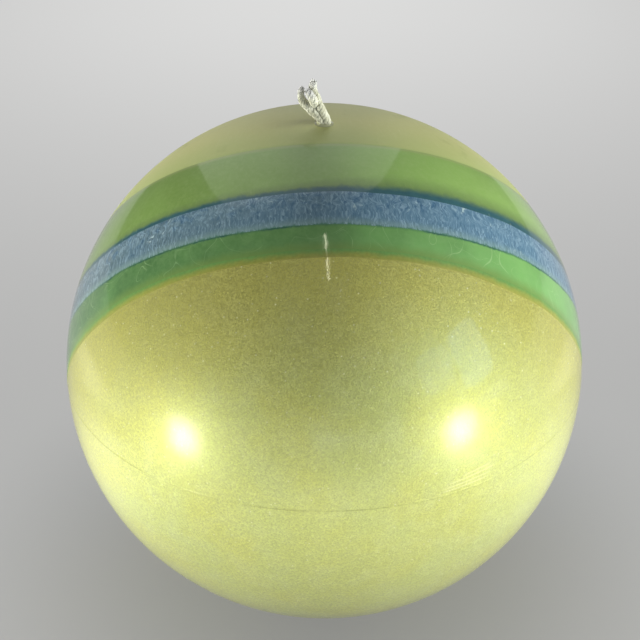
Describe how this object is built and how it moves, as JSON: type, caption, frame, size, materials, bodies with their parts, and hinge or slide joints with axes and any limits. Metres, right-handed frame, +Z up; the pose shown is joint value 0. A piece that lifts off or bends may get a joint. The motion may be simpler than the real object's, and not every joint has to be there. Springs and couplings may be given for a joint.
{
  "type": "ball candle",
  "caption": "Lacquered ball candle poured in slanted layers of coloured wax, with a braided wick standing out of the top and a small flat foot.",
  "frame": {"origin": "centre of the flat foot that the candle stands on", "axes": "+Z up along the wick through the poles of the ball; +Y is the way the wax layers lean, so the layers climb toward -Y; +X to the right seen from -Y"},
  "size_m": [0.08, 0.08, 0.0856],
  "materials": {
    "pearl_wax": "satin",
    "olive_wax": "satin",
    "deep_green_wax": "satin",
    "blue_frost_wax": "satin",
    "navy_wax": "satin",
    "light_green_wax": "satin",
    "champagne_wax": "satin",
    "wick_wax": "satin",
    "wick_cotton": "matte"
  },
  "bodies": {
    "root": {"pearl_wax_body": "pearl_wax", "olive_edge_layer": "olive_wax", "deep_green_layer": "deep_green_wax", "blue_frost_layer": "blue_frost_wax", "navy_line_layer": "navy_wax", "light_green_layer": "light_green_wax", "champagne_cap": "champagne_wax", "wick_priming_coat": "wick_wax", "wick_plait_right": "wick_cotton", "wick_plait_left": "wick_cotton", "wick_plait_back": "wick_cotton"}
  },
  "joints": []
}
